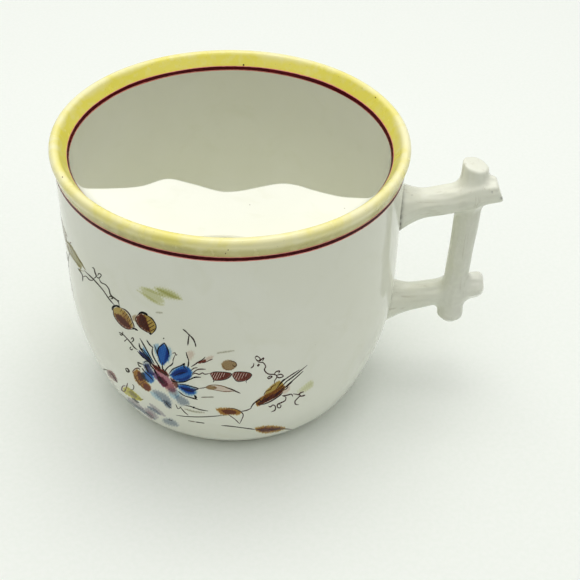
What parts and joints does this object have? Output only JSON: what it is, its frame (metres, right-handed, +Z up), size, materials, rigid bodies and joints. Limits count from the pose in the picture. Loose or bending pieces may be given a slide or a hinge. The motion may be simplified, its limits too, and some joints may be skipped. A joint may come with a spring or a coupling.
{
  "type": "moustache cup",
  "caption": "Round porcelain cup with a wavy moustache shelf and drinking slot inside its banded rim, and an open handle of crossed twigs.",
  "frame": {"origin": "centre of the foot ring's underside, on the cup's axis, where the cup stands on the table", "axes": "+Z up along the cup's axis; +X from the axis towards the handle; the moustache shelf is on the -Y side"},
  "size_m": [0.1224, 0.095, 0.082],
  "materials": {
    "porcelain": "clear gloss glaze over slightly warm white porcelain, with faint waves and specks",
    "yellow_enamel": "brushed-on yellow overglaze enamel, semi-gloss, thinner on the crest",
    "maroon_enamel": "hand-drawn dark maroon overglaze enamel line, semi-gloss"
  },
  "bodies": {
    "root": {"cup_body": "porcelain", "moustache_guard": "porcelain", "handle_upper_branch": "porcelain", "handle_lower_branch": "porcelain", "handle_upright_branch": "porcelain", "rim_band": "yellow_enamel", "outer_rim_line": "maroon_enamel", "inner_rim_line": "maroon_enamel"}
  },
  "joints": []
}
